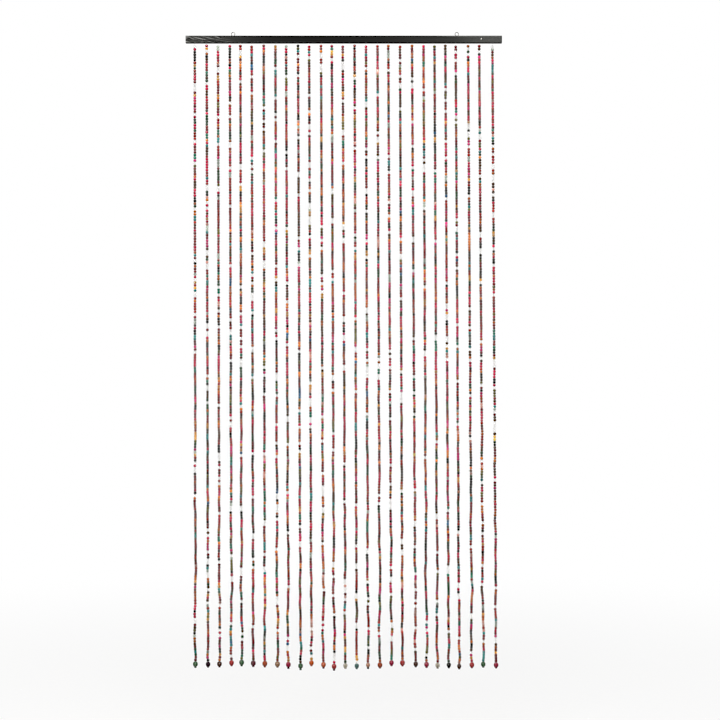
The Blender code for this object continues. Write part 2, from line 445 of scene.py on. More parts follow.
@dataclass(frozen=True)
class SharedEffect:
    """A shader node group that several materials place with their own values."""

    name: str
    takes: tuple[tuple[str, str], ...]
    gives: tuple[tuple[str, str], ...]

    def start(self) -> tuple[Recipe, bpy.types.Node]:
        """Make the group's tree with its sockets.

        Returns:
            The recipe that fills it, and the node that holds its inputs.
        """
        tree = bpy.data.node_groups.new(self.name, "ShaderNodeTree")
        for name, kind in self.takes:
            tree.interface.new_socket(name, in_out="INPUT", socket_type=kind)
        for name, kind in self.gives:
            tree.interface.new_socket(name, in_out="OUTPUT", socket_type=kind)
        recipe = Recipe(tree)
        return recipe, recipe.add("NodeGroupInput", {})

    def put(self, recipe: Recipe, inputs: dict[str | int, object]) -> bpy.types.Node:
        """Place the group in a material with these inputs."""
        return recipe.add("ShaderNodeGroup", inputs, node_tree=bpy.data.node_groups[self.name])


MARBLING = SharedEffect(
    "marbling",
    (("Place", PLACE), ("Tint", COLOUR), ("Scale", NUMBER), ("Depth", NUMBER)),
    (("Color", COLOUR), ("Roughness", NUMBER), ("Height", NUMBER)),
)
SCUFFS = SharedEffect(
    "scuffs",
    (("Place", PLACE), ("Scale", NUMBER), ("Cover", NUMBER)),
    (("Mask", NUMBER), ("Height", NUMBER)),
)


# Tones, scales and bands of the shared effects. A mask fades between its band's two noise values.
VEIN_SHADE = (0.30, 0.26, 0.26)
VEIN_BAND = (0.48, 0.66)
CLOUD_TONE = (0.90, 0.82, 0.72)
CLOUD_SHARE = 0.16
CLOUD_UNITS = (1.0, 1.0, 2.2)
CLOUD_SCALE = 1.7
CLOUD_BAND = (0.50, 0.72)
HANDLED_SCALE = 2.3
HANDLED_BAND = (0.35, 0.70)
HANDLED_ROUGHNESS = (0.08, 0.20)
RIPPLE_SCALE = 5.5
SCUFF_BAND = (0.45, 0.70)
SPECK_BAND = (0.38, 0.62)
SPECK_FINENESS = 9.0


def make_marbling() -> None:
    """Clouds and veins in a moulded bead: darker veins, paler clouds and a slightly uneven gloss."""
    recipe, given = MARBLING.start()
    place = given.outputs["Place"]
    tint = given.outputs["Tint"]
    figure = recipe.noise(place, given.outputs["Scale"], detail=3.0, bend=1.4)
    veins = recipe.spread(figure, *VEIN_BAND)
    tall = recipe.in_frame(place, CLOUD_UNITS)
    clouds = recipe.spread(recipe.noise(tall, CLOUD_SCALE, detail=1.0, bend=0.6), *CLOUD_BAND)
    depth = given.outputs["Depth"]
    deep = recipe.mixed(1.0, tint, VEIN_SHADE, "MULTIPLY")
    milky = recipe.mixed(CLOUD_SHARE, tint, CLOUD_TONE)
    veined = recipe.mixed(recipe.calc("MULTIPLY", veins, depth), tint, deep)
    clouded = recipe.mixed(recipe.calc("MULTIPLY", clouds, depth), veined, milky)
    handled = recipe.noise(place, HANDLED_SCALE)
    roughness = recipe.spread(handled, *HANDLED_BAND, *HANDLED_ROUGHNESS)
    ripple = recipe.noise(place, RIPPLE_SCALE)
    recipe.add("NodeGroupOutput", {"Color": clouded, "Roughness": roughness, "Height": ripple})


def make_scuffs() -> None:
    """Patches where handling has dulled a surface: broad patches broken up by fine specks."""
    recipe, given = SCUFFS.start()
    place = given.outputs["Place"]
    scale = given.outputs["Scale"]
    broad = recipe.spread(recipe.noise(place, scale, detail=4.0, bend=0.8), *SCUFF_BAND)
    fine = recipe.noise(place, recipe.calc("MULTIPLY", scale, SPECK_FINENESS))
    broken = recipe.calc("MULTIPLY", broad, recipe.spread(fine, *SPECK_BAND))
    mask = recipe.calc("MULTIPLY", broken, given.outputs["Cover"])
    recipe.add("NodeGroupOutput", {"Mask": mask, "Height": fine})


# Finishes

@dataclass(frozen=True)
class BeadGloss:
    """Moulded bead plastic, either solid or see-through."""

    name: str
    tint: Colour | None = None
    see_through: float = 0.0
    coat: float = 0.10
    coat_roughness: float = 0.06
    mirror: float = 0.30
    vein_scale: float = 1.6
    vein_depth: float = 0.55
    ripple: float = 0.02 * MM
    index: float = 1.49

    def material(self) -> bpy.types.Material:
        """Make the material. With no tint of its own it reads each bead's from bead_tint.

        Returns:
            The new material.
        """
        material, recipe = new_material(self.name)
        tint = (*self.tint, 1.0) if self.tint else recipe.value_of("bead_tint").outputs["Color"]
        inputs = {
            "Place": recipe.value_of("bead_place").outputs["Vector"],
            "Tint": tint,
            "Scale": self.vein_scale,
            "Depth": self.vein_depth,
        }
        marble = MARBLING.put(recipe, inputs)
        recipe.shader({
            "Base Color": marble.outputs["Color"],
            "Roughness": marble.outputs["Roughness"],
            "Normal": recipe.raised(marble.outputs["Height"], self.ripple),
            "IOR": self.index,
            "Specular IOR Level": self.mirror,
            "Transmission Weight": self.see_through,
            "Coat Weight": self.coat,
            "Coat Roughness": self.coat_roughness,
        })
        return material


class PaintTone(Enum):
    """The batten's tones, as linear light."""

    BLACK = (0.0042, 0.0041, 0.0035)
    # Grey of the batten's ends: partly worn paint, partly painted sheen.
    WORN_AND_SHEEN = (0.0370, 0.0378, 0.0350)
    # Pale grey of the right end: partly dusty paint, partly painted sheen.
    DUST_AND_SHEEN = (0.0760, 0.0770, 0.0730)
    STREAK = (0.1300, 0.1310, 0.1260)
    PALE_MARK = (0.7800, 0.7600, 0.7000)
    KNOT = (0.0040, 0.0038, 0.0035)


class PaintSpot(NamedTuple):
    """One oval spot in the paint: its tone, its middle in x and z, and its form."""

    tone: PaintTone
    middle: tuple[float, float]
    half_sizes_mm: tuple[float, float]
    turn: float


@dataclass(frozen=True)
class BattenPaint:
    """Thin near-black paint on planed softwood, greyer towards the batten's two ends, partly from wear
    and partly as painted sheen.
    """

    name: str = "batten_paint"
    half_length: float = 0.450
    grain_units: Point = (110 * MM, 1.6 * MM, 1.6 * MM)
    brush_units: Point = (330 * MM, 7.0 * MM, 7.0 * MM)
    grain_share: float = 0.45
    grain_band: Band = (0.30, 0.62)
    grain_tones: Band = (0.25, 1.0)
    rough_band: Band = (0.30, 0.70)
    roughness: Band = (0.20, 0.32)
    relief: float = 0.03 * MM
    mirror: float = 0.22
    # Where the ends turn grey: partly wear, partly painted sheen.
    left_wear_and_sheen_start: float = -0.200
    right_wear_and_sheen_start: float = -0.050
    right_wear_and_sheen: float = 0.80
    streaks_end: float = -0.300
    streaks_fade: float = 80 * MM
    streak_units: Point = (55 * MM, 1.0, 6.5 * MM)
    streak_turn: float = math.radians(11.5)
    pale_band: Band = (0.50, 0.60)
    dark_band: Band = (0.46, 0.37)
    # Pale right end: partly dusty paint, partly painted sheen.
    dust_and_sheen_start: float = 0.290
    dust_and_sheen_full: float = 0.430
    dust_scale: float = 150.0
    dust_cover: float = 0.45
    least_dust_and_sheen: float = 0.50
    spot_core: float = 0.60
    spots: tuple[PaintSpot, ...] = (
        # Paler band along the top edge at the right end: partly dusty paint, partly painted sheen.
        PaintSpot(PaintTone.DUST_AND_SHEEN, (0.4000, -0.0012), (150.0, 3.2), 0.0),
        PaintSpot(PaintTone.BLACK, (-0.4385, -0.0085), (10.0, 2.6), math.radians(16.0)),
        PaintSpot(PaintTone.STREAK, (-0.4085, -0.0085), (24.0, 2.0), math.radians(11.5)),
        PaintSpot(PaintTone.BLACK, (-0.3720, -0.0150), (30.0, 1.8), math.radians(6.0)),
        PaintSpot(PaintTone.KNOT, (-0.2603, -0.0100), (1.7, 1.5), 0.0),
        PaintSpot(PaintTone.KNOT, (-0.3505, -0.0055), (8.5, 1.9), math.radians(24.0)),
        # A small pale slanted mark on the face near the right end.
        PaintSpot(PaintTone.PALE_MARK, (0.3911, -0.0092), (1.15, 2.9), math.radians(24.0)),
    )

    def material(self) -> bpy.types.Material:
        """Make the paint: grain, ends greyed partly by wear and partly by painted sheen, slanted
        streaks, a dusty right end with painted sheen, dark knots and one small pale mark.

        Returns:
            The new material.
        """
        material, recipe = new_material(self.name)
        place = recipe.place()
        grain = recipe.noise(recipe.in_frame(place, self.grain_units), 1.0, detail=4.0, bend=0.3)
        brushed = recipe.noise(recipe.in_frame(place, self.brush_units), 1.0, detail=3.0)
        along = recipe.axis(place, "X")
        # Greyer towards both ends: partly worn paint, partly painted sheen.
        leftward = recipe.spread(along, self.left_wear_and_sheen_start, -self.half_length)
        rightward = recipe.spread(along, self.right_wear_and_sheen_start, self.half_length, 0.0, self.right_wear_and_sheen)
        ends = recipe.calc("MAXIMUM", leftward, rightward)
        colour = recipe.mixed(ends, PaintTone.BLACK.value, PaintTone.WORN_AND_SHEEN.value)
        colour = recipe.mixed(self.grain_share, colour, self.grain_tone(recipe, grain), "MULTIPLY")
        colour = self.streaked(recipe, place, along, colour)
        # Paler right end: partly dusty paint, partly painted sheen.
        colour = recipe.mixed(self.dust_and_sheen(recipe, place, along), colour, PaintTone.DUST_AND_SHEEN.value)
        for spot in self.spots:
            colour = recipe.mixed(self.mask_of(recipe, place, spot), colour, spot.tone.value)
        relief = recipe.mixed(0.5, self.grain_tone(recipe, grain), self.grain_tone(recipe, brushed))
        recipe.shader({
            "Base Color": colour,
            "Roughness": recipe.spread(brushed, *self.rough_band, *self.roughness),
            "Normal": recipe.raised(relief, self.relief),
            "Specular IOR Level": self.mirror,
        })
        return material

    def grain_tone(self, recipe: Recipe, value: Socket) -> Socket:
        """A grey that is dark in the grain's lines and full between them."""
        return recipe.spread(value, *self.grain_band, *self.grain_tones)

    def streaked(self, recipe: Recipe, place: Socket, along: Socket, colour: Socket) -> Socket:
        """Lay pale and dark streaks over the left end, running down to the right.

        Args:
            recipe: the material's recipe.
            place: the place on the batten.
            along: the place along the batten.
            colour: the paint beneath.

        Returns:
            The streaked colour.
        """
        turned = recipe.in_frame(place, self.streak_units, self.streak_turn)
        figure = recipe.noise(turned, 1.0, detail=3.0, bend=0.9)
        reach = recipe.spread(along, self.streaks_end, self.streaks_end - self.streaks_fade)
        pale = recipe.calc("MULTIPLY", recipe.spread(figure, *self.pale_band), reach)
        dark = recipe.calc("MULTIPLY", recipe.spread(figure, *self.dark_band), reach)
        lightened = recipe.mixed(pale, colour, PaintTone.STREAK.value)
        return recipe.mixed(dark, lightened, PaintTone.BLACK.value)

    def dust_and_sheen(self, recipe: Recipe, place: Socket, along: Socket) -> Socket:
        """A mask of dusty, rubbed paint at the right end, whose paler look there is partly painted
        sheen.

        Args:
            recipe: the material's recipe.
            place: the place on the batten.
            along: the place along the batten.

        Returns:
            The mask.
        """
        inputs = {"Place": place, "Scale": self.dust_scale, "Cover": self.dust_cover}
        evenly = recipe.calc("ADD", SCUFFS.put(recipe, inputs).outputs["Mask"], self.least_dust_and_sheen)
        return recipe.calc("MULTIPLY", evenly, recipe.spread(along, self.dust_and_sheen_start, self.dust_and_sheen_full))

    def mask_of(self, recipe: Recipe, place: Socket, spot: PaintSpot) -> Socket:
        """A mask of one oval spot on the batten's face, 1 inside it and 0 past its edge.

        Args:
            recipe: the material's recipe.
            place: the place on the batten.
            spot: where the oval lies, and its form.

        Returns:
            The mask.
        """
        middle = (spot.middle[0], 0.0, spot.middle[1])
        units = (spot.half_sizes_mm[0] * MM, 1.0, spot.half_sizes_mm[1] * MM)
        shaped = recipe.in_frame(place, units, spot.turn, middle)
        return recipe.spread(recipe.length_of(shaped), 1.0, self.spot_core)


@dataclass(frozen=True)
class EyeSteel:
    """Bent steel wire, dulled, with rust specks where it enters the wood."""

    name: str = "eye_steel"
    bright: Colour = (0.20, 0.185, 0.165)
    dull: Colour = (0.055, 0.048, 0.040)
    rust: Colour = (0.13, 0.045, 0.020)
    rust_height: float = 4.0 * MM
    scuff_scale: float = 420.0
    rough_band: Band = (0.2, 0.8)
    roughness: Band = (0.28, 0.50)
    relief: float = 0.03 * MM

    def material(self) -> bpy.types.Material:
        """Make the steel: drawn lines, dull patches, and rust near the batten.

        Returns:
            The new material.
        """
        material, recipe = new_material(self.name)
        place = recipe.place()
        scuffs = SCUFFS.put(recipe, {"Place": place, "Scale": self.scuff_scale, "Cover": 1.0})
        mask = scuffs.outputs["Mask"]
        height = scuffs.outputs["Height"]
        low = recipe.spread(recipe.axis(place, "Z"), self.rust_height, 0.0)
        dulled = recipe.mixed(mask, self.bright, self.dull)
        recipe.shader({
            "Base Color": recipe.mixed(recipe.calc("MULTIPLY", low, mask), dulled, self.rust),
            "Metallic": 1.0,
            "Roughness": recipe.spread(height, *self.rough_band, *self.roughness),
            "Normal": recipe.raised(height, self.relief),
        })
        return material


@dataclass(frozen=True)
class DrawnNylon:
    """Clear nylon line, milky and scratched in places along its draw."""

    name: str = "nylon_line"
    clear: Colour = (0.97, 0.97, 0.96)
    milky: Colour = (0.84, 0.84, 0.81)
    see_through: float = 0.94
    index: float = 1.53
    draw_units: Point = (0.5 * MM, 0.5 * MM, 24 * MM)
    milky_band: Band = (0.42, 0.72)
    rough_band: Band = (0.40, 0.70)
    roughness: Band = (0.06, 0.30)
    relief: float = 0.01 * MM

    def material(self) -> bpy.types.Material:
        """Make the nylon from one noise drawn out along the line.

        Returns:
            The new material.
        """
        material, recipe = new_material(self.name)
        drawn = recipe.noise(recipe.in_frame(recipe.place(), self.draw_units), 1.0, detail=3.0)
        clouded = recipe.spread(drawn, *self.milky_band)
        recipe.shader({
            "Base Color": recipe.mixed(clouded, self.clear, self.milky),
            "Roughness": recipe.spread(drawn, *self.rough_band, *self.roughness),
            "Normal": recipe.raised(drawn, self.relief),
            "IOR": self.index,
            "Transmission Weight": self.see_through,
        })
        return material


# The strands

@dataclass(frozen=True)
class HangLine:
    """Where one strand hangs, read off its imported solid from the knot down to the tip."""

    number: int
    heights: Array
    middles: Array

    SECTION_GAP: ClassVar[float] = 0.5 * MM
    KNOT_BOTTOM: ClassVar[int] = 3
    COLUMN_TOP: ClassVar[int] = 4
    COLUMN_BOTTOM: ClassVar[int] = -5
    STOPPER_TOP: ClassVar[int] = -4
    KINK_LENGTHS: ClassVar[Array] = np.array([0.052, 0.079, 0.124])
    KINK_REACH: ClassVar[Array] = np.array([0.45, 0.70, 0.60]) * MM
    KINK_FADE: ClassVar[float] = 10.0 * MM

    @classmethod
    def of_strand(cls, number: int) -> "HangLine":
        """Read the middle of each section, halfway between its outermost corners.

        Args:
            number: the strand's number.

        Returns:
            The strand's line.
        """
        mesh = frame["nodes"][f"strand_{number:02d}"].data
        points = np.empty(len(mesh.vertices) * 3, np.float32)
        mesh.vertices.foreach_get("co", points)
        points = points.reshape(-1, 3).astype(float)
        points = points[np.argsort(-points[:, 2])]
        starts = np.flatnonzero(np.diff(-points[:, 2], prepend=-1.0) > cls.SECTION_GAP)
        low = np.minimum.reduceat(points, starts)
        high = np.maximum.reduceat(points, starts)
        middles = (low + high) / 2
        return cls(number, middles[:, 2], middles[:, :2])

    @property
    def knot_middle(self) -> Array:
        """The middle of the knot in its recess."""
        return np.array([*self.middles[0], (self.heights[0] + self.knot_bottom) / 2])

    @property
    def knot_bottom(self) -> float:
        """Height where the string enters the batten's bore."""
        return float(self.heights[self.KNOT_BOTTOM])

    @property
    def column_top(self) -> float:
        """Height where the small beads start."""
        return float(self.heights[self.COLUMN_TOP])

    @property
    def column_bottom(self) -> float:
        """Height where the small beads end."""
        return float(self.heights[self.COLUMN_BOTTOM])

    @property
    def stopper_top(self) -> float:
        """Height of the stopper bead's upper rim."""
        return float(self.heights[self.STOPPER_TOP])

    @property
    def tip(self) -> float:
        """Height of the strand's lower tip."""
        return float(self.heights[-1])

    def kinks(self, heights: Array) -> Array:
        """How far the string's small kinks carry it aside at these heights.

        Three sine waves of their own length and phase are added for each of x and y. They
        grow with the square of the way down and fade out just above the end bead.

        Args:
            heights: heights along the strand.

        Returns:
            Rows of x and y.
        """
        down = (self.column_top - heights) / (self.column_top - self.column_bottom)
        near_end = np.clip((heights - self.column_bottom) / self.KINK_FADE, 0.0, 1.0)
        phases = self.number * GOLDEN_TURN * np.arange(1, 7).reshape(2, 3) ** 2
        turns = FULL_TURN * heights[:, None, None] / self.KINK_LENGTHS + phases
        waves = (np.sin(turns) * self.KINK_REACH).sum(axis=-1)
        return waves * (np.clip(down, 0.0, 1.0) ** 2 * near_end)[:, None]

    def at(self, heights: Array) -> Array:
        """The strand's middle at these heights, as x, y and z."""
        across = [np.interp(-heights, -self.heights, self.middles[:, axis]) for axis in (0, 1)]
        return np.column_stack([np.stack(across, axis=-1) + self.kinks(heights), heights])


class BeadBody(Enum):
    """How much a small bead lets through, as its place among the bead plastics."""

    SOLID = 0
    TINTED = 1
    CLEAR = 2

    @property
    def see_through(self) -> float:
        """How much of the light that enters goes through."""
        return BEAD_SEE_THROUGH[self.name]


class BeadColour(NamedTuple):
    """One colour of small bead, as linear light, and its share of the beads."""

    name: str
    tint: Colour
    share: float
    body: BeadBody


PALETTE = (
    BeadColour("maroon", (0.130, 0.008, 0.011), 14.0, BeadBody.SOLID),
    BeadColour("dark_red", (0.240, 0.014, 0.008), 13.0, BeadBody.SOLID),
    BeadColour("crimson", (0.420, 0.012, 0.048), 14.5, BeadBody.SOLID),
    BeadColour("magenta", (0.460, 0.025, 0.130), 3.2, BeadBody.SOLID),
    BeadColour("black", (0.0050, 0.0032, 0.0020), 9.0, BeadBody.SOLID),
    BeadColour("dark_brown", (0.060, 0.022, 0.005), 10.0, BeadBody.SOLID),
    BeadColour("brick", (0.340, 0.080, 0.012), 7.5, BeadBody.SOLID),
    BeadColour("orange", (0.600, 0.170, 0.025), 3.6, BeadBody.SOLID),
    BeadColour("amber", (0.740, 0.390, 0.080), 3.4, BeadBody.TINTED),
    BeadColour("olive", (0.110, 0.095, 0.015), 3.5, BeadBody.SOLID),
    BeadColour("bottle_green", (0.012, 0.045, 0.015), 4.5, BeadBody.SOLID),
    BeadColour("emerald", (0.015, 0.140, 0.080), 2.5, BeadBody.SOLID),
    BeadColour("teal", (0.020, 0.190, 0.180), 3.0, BeadBody.SOLID),
    BeadColour("blue", (0.015, 0.085, 0.180), 0.5, BeadBody.SOLID),
    BeadColour("sea_glass", (0.480, 0.530, 0.460), 1.3, BeadBody.TINTED),
    BeadColour("rose", (0.720, 0.400, 0.330), 1.5, BeadBody.TINTED),
    BeadColour("clear", (0.985, 0.980, 0.970), 10.0, BeadBody.CLEAR),
)


class BeadForm(Enum):
    """How square the shoulders of a bead are, as the power of its outline."""

    OVAL = 2.0
    BARREL = 2.5
    DRUM = 3.0

    def outline(self, rows: int, bore: float) -> Array:
        """Rows of radius and height, from the bore's upper rim down to its lower one.

        The outline is the superellipse in which radius and height, each to the form's power,
        add up to one. It stops where the radius is the bore's, and its height is then made to
        run from 1 to -1.

        Args:
            rows: how many rows the outline has.
            bore: the bore's radius as a share of the bead's.

        Returns:
            The rows, for a bead of radius one and half height one.
        """
        rim = math.asin(bore ** (self.value / 2))
        turn = np.linspace(rim, math.pi - rim, rows)
        radius = np.sin(turn) ** (2 / self.value)
        height = np.sign(np.cos(turn)) * np.abs(np.cos(turn)) ** (2 / self.value)
        return np.stack([radius, height / height[0]], axis=-1)


@dataclass
class BeadBatch:
    """Many beads of one mesh: where they are, how they lie, and their colours."""

    middles: Array
    axes: Array
    radii: Array
    half_heights: Array
    outlines: Array
    spins: Array
    tints: Array
    finishes: Array
    around: int

    PATTERN_STEP: ClassVar[Array] = np.array([3.7, 5.3, 7.1])

    def add_to(self, skin: Skin) -> tuple[Array, Array]:
        """Turn each bead's outline round its own axis and add it to a mesh.

        A point is the bead's middle, plus the outline's radius across the axis at the point's
        angle, plus the outline's height along the axis. Its place within the bead is moved on
        by one step of the pattern for each bead, so that no two beads are marbled alike.

        Args:
            skin: the mesh that takes the beads.

        Returns:
            Each point's tint, and its place within its own bead, in bead radii.
        """
        count, rows, _ = self.outlines.shape
        side = unit(np.cross(np.array([0.0, 1.0, 0.0]), self.axes))
        front = np.cross(self.axes, side)
        angles = self.spins[:, None] + angles_round(self.around)[None, :]
        sideways = np.cos(angles)[..., None] * side[:, None, :]
        outward = sideways + np.sin(angles)[..., None] * front[:, None, :]
        radius = self.outlines[..., 0] * self.radii[:, None]
        height = self.outlines[..., 1] * self.half_heights[:, None]
        points = (
            self.middles[:, None, None, :]
            + radius[:, :, None, None] * outward[:, None, :, :]
            + height[:, :, None, None] * self.axes[:, None, None, :]
        )
        faces = ring_faces(skin.add_points(points), joined=True)
        skin.add_faces(faces, np.repeat(self.finishes, rows * self.around))
        shape = (count, rows, self.around)
        tints = np.broadcast_to(self.tints[:, None, None, :], (*shape, 4)).reshape(-1, 4)
        plain_angles = np.broadcast_to(angles[:, None, :], shape)
        wide = np.broadcast_to(self.outlines[:, :, None, 0], shape)
        tall = np.broadcast_to(self.outlines[:, :, None, 1], shape)
        within = np.stack([wide * np.cos(plain_angles), wide * np.sin(plain_angles), tall], axis=-1)
        apart = np.arange(count)[:, None, None, None] * self.PATTERN_STEP
        return tints, (within + apart + self.middles[:, None, None, :] / MM).reshape(-1, 3)


def full_colour(tint: Colour) -> Array:
    """A colour with full cover, as four numbers."""
    return np.array([*tint, 1.0])


@dataclass
class BeadString:
    """One strand's row of small beads with the stopper bead at its end."""

    number: int
    line: HangLine
    radius: float = 4.25 * MM
    bore: float = 0.80 * MM
    pitch: float = 7.70 * MM
    gap: float = 0.10 * MM
    size_spread: float = 0.045
    tilt: float = math.radians(2.6)
    most_tilt: float = math.radians(6.0)
    run_chance: float = 0.18
    tint_spread: float = 0.24
    off_line: float = 0.14 * MM
    most_off_line: float = 0.28 * MM
    stopper_radius: float = 3.70 * MM
    around: int = 10
    rows: int = 6
    crease: float = math.radians(62.0)

    SEED: ClassVar[int] = 7100
    FORM_SHARES: ClassVar[tuple[float, ...]] = (0.35, 0.40, 0.25)
    FIRST_COLOURS: ClassVar[dict[int, tuple[str, ...]]] = {1: ("clear",), 27: ("clear", "sea_glass")}
    DARK_STOPPERS: ClassVar[dict[int, str]] = {
        9: "black", 10: "bottle_green", 12: "maroon", 13: "maroon", 16: "black",
    }

    def __post_init__(self) -> None:
        """Start this strand's own series of random draws."""
        self.draws = np.random.default_rng(self.SEED + self.number)

    def colours(self, count: int) -> tuple[Array, Array]:
        """Pick the beads' colours in short runs.

        A bead either repeats the one above or is drawn anew. Every bead but a clear one is
        then made somewhat lighter or darker.

        Args:
            count: how many small beads there are.

        Returns:
            Each bead's tint, and its place among the bead plastics.
        """
        shares = np.array([colour.share for colour in PALETTE])
        picks = self.draws.choice(len(PALETTE), count, p=shares / shares.sum())
        repeats = self.draws.random(count) < self.run_chance
        repeats[0] = False
        picks = picks[np.maximum.accumulate(np.where(repeats, 0, np.arange(count)))]
        names = [colour.name for colour in PALETTE]
        first = [names.index(name) for name in self.FIRST_COLOURS.get(self.number, ())]
        picks[: len(first)] = first
        tints = np.array([full_colour(colour.tint) for colour in PALETTE])[picks]
        bodies = np.array([colour.body.value for colour in PALETTE])[picks]
        level = np.exp(self.draws.normal(0.0, self.tint_spread, (count, 1)))
        level[bodies == BeadBody.CLEAR.value] = 1.0
        tints[:, :3] = np.clip(tints[:, :3] * level, 0.0, 1.0)
        return tints, bodies

    def lying(self, middles: Array) -> Array:
        """Each bead's axis: the strand's own direction, tilted a little at random.

        Args:
            middles: the beads' middles.

        Returns:
            The axes, as unit vectors.
        """
        slope = np.gradient(middles[:, :2], middles[:, 2], axis=0)
        tilts = self.draws.normal(0.0, self.tilt, (len(middles), 2))
        slope = slope + np.clip(tilts, -self.most_tilt, self.most_tilt)
        return unit(np.concatenate([slope, np.ones((len(middles), 1))], axis=1))

    @property
    def stopper_slot(self) -> str:
        """The stopper's finish: its end bead's, or a darker one on some strands."""
        return self.DARK_STOPPERS.get(self.number, NODE_SLOTS[f"end_bead_{self.number:02d}"])

    def batch(self) -> BeadBatch:
        """Stack the small beads down the column and put the stopper bead under them.

        Returns:
            All the strand's beads but its end bead.
        """
        line = self.line
        length = line.column_top - line.column_bottom
        count = round(length / self.pitch)
        spans = 1.0 + self.size_spread * self.draws.uniform(-1.0, 1.0, count)
        spans *= length / spans.sum()
        heights = line.column_top - np.cumsum(spans) + spans / 2
        middles = line.at(heights)
        aside = self.draws.normal(0.0, self.off_line, (count, 2))
        middles[:, :2] += aside.clip(-self.most_off_line, self.most_off_line)
        axes = self.lying(middles)
        radii = self.radius * (1.0 + self.size_spread * self.draws.uniform(-1.0, 1.0, count))
        tints, bodies = self.colours(count)
        stopper_body = BeadBody.TINTED if self.stopper_slot in END_SEE_THROUGH else BeadBody.SOLID
        stopper_half = (line.stopper_top - line.tip) / 2
        stopper = line.at(np.array([line.tip + stopper_half]))
        forms = self.draws.choice(len(BeadForm), count + 1, p=self.FORM_SHARES)
        outlines = np.stack([form.outline(self.rows, self.bore / self.radius) for form in BeadForm])
        return BeadBatch(
            middles=np.concatenate([middles, stopper]),
            axes=np.concatenate([axes, [[0.0, 0.0, 1.0]]]),
            radii=np.append(radii, self.stopper_radius),
            half_heights=np.append(spans / 2 - self.gap / 2, stopper_half),
            outlines=outlines[forms],
            spins=self.draws.uniform(0.0, FULL_TURN, count + 1),
            tints=np.concatenate([tints, [full_colour(END_TINTS[self.stopper_slot])]]),
            finishes=np.append(bodies, stopper_body.value).astype(np.int32),
            around=self.around,
        )

    def build(self, materials: list[bpy.types.Material]) -> bpy.types.Object:
        """Make the strand's beads as one piece.

        Args:
            materials: the bead plastics, in the order of BeadBody.

        Returns:
            The piece, in place of its strand's solid.
        """
        skin = Skin()
        tints, places = self.batch().add_to(skin)
        piece = skin.make(f"beads_{self.number:02d}", materials, self.crease)
        write_values(piece, "bead_tint", PointValue.COLOUR, tints)
        write_values(piece, "bead_place", PointValue.PLACE, places)
        fit(piece, "small_beads", f"strand_{self.number:02d}")
        return piece


@dataclass
class NylonString:
    """One strand's line, with an overhand knot in the batten and a small one under the stopper."""

    number: int
    line: HangLine
    radius: float = 0.35 * MM
    knot_reach: float = 0.42 * MM
    knot_rise: float = 0.70 * MM
    knot_steps: int = 46
    knot_open: float = 0.55
    tail: float = 1.6 * MM
    step: float = 14.0 * MM
    end_knot_radius: float = 0.8 * MM
    end_knot_drop: float = 0.9 * MM
    end_knot_steps: int = 9
    sides: int = 8
    crease: float = math.radians(70.0)

    TAIL: ClassVar[Array] = np.array([[0.5, 0.3, 1.0], [0.2, 0.1, 0.45]])

    def knot(self) -> Array:
        """The overhand knot: a trefoil curve left open where its two ends leave it.

        At turn t it lies at (sin t + 2 sin 2t, cos t - 2 cos 2t, -sin 3t), times its reach
        across and its rise upwards.

        Returns:
            Points from the tail's end to where the string enters the bore.
        """
        turn = np.linspace(self.knot_open, FULL_TURN - self.knot_open, self.knot_steps)
        turn = turn + self.number * GOLDEN_TURN
        across = (np.sin(turn) + 2 * np.sin(2 * turn)) * self.knot_reach
        deep = (np.cos(turn) - 2 * np.cos(2 * turn)) * self.knot_reach
        rise = -np.sin(3 * turn) * self.knot_rise
        return self.line.knot_middle + np.stack([across, deep, rise], axis=-1)

    def path(self) -> Array:
        """The string's whole path: tail, knot, a long run down through the beads, and end knot.

        Returns:
            Points from the tail's end down to the lower end, closer together in the two knots.
        """
        line = self.line
        knot = self.knot()
        start = line.knot_bottom
        end = line.tip - self.end_knot_drop
        heights = np.linspace(start, end, round((start - end) / self.step))
        close = np.linspace(line.tip, end, self.end_knot_steps)
        run = line.at(np.concatenate([heights[heights > line.tip], close]))
        return np.concatenate([knot[0] + self.TAIL * self.tail, knot, run])

    def radii(self, path: Array) -> Array:
        """The string's radius along its path, swollen into a round knot under the stopper.

        The knot's radius at a point is that of a ball: the root of one less the square of the
        point's distance from the knot's middle, in knot radii.

        Args:
            path: points along the string.

        Returns:
            The radius at each point.
        """
        away = (path[:, 2] - (self.line.tip - self.end_knot_drop / 2)) / self.end_knot_radius
        swell = np.sqrt(np.clip(1.0 - away ** 2, 0.0, 1.0)) * self.end_knot_radius
        return np.maximum(self.radius, swell)

    def build(self, material: bpy.types.Material) -> bpy.types.Object:
        """Make the string as one piece.

        Args:
            material: the line's finish.

        Returns:
            The piece, in place of its strand's solid.
        """
        path = self.path()
        skin = Skin()
        sweep(skin, path, self.radii(path), self.sides)
        piece = skin.make(f"string_{self.number:02d}", [material], self.crease)
        fit(piece, "string", f"strand_{self.number:02d}")
        return piece


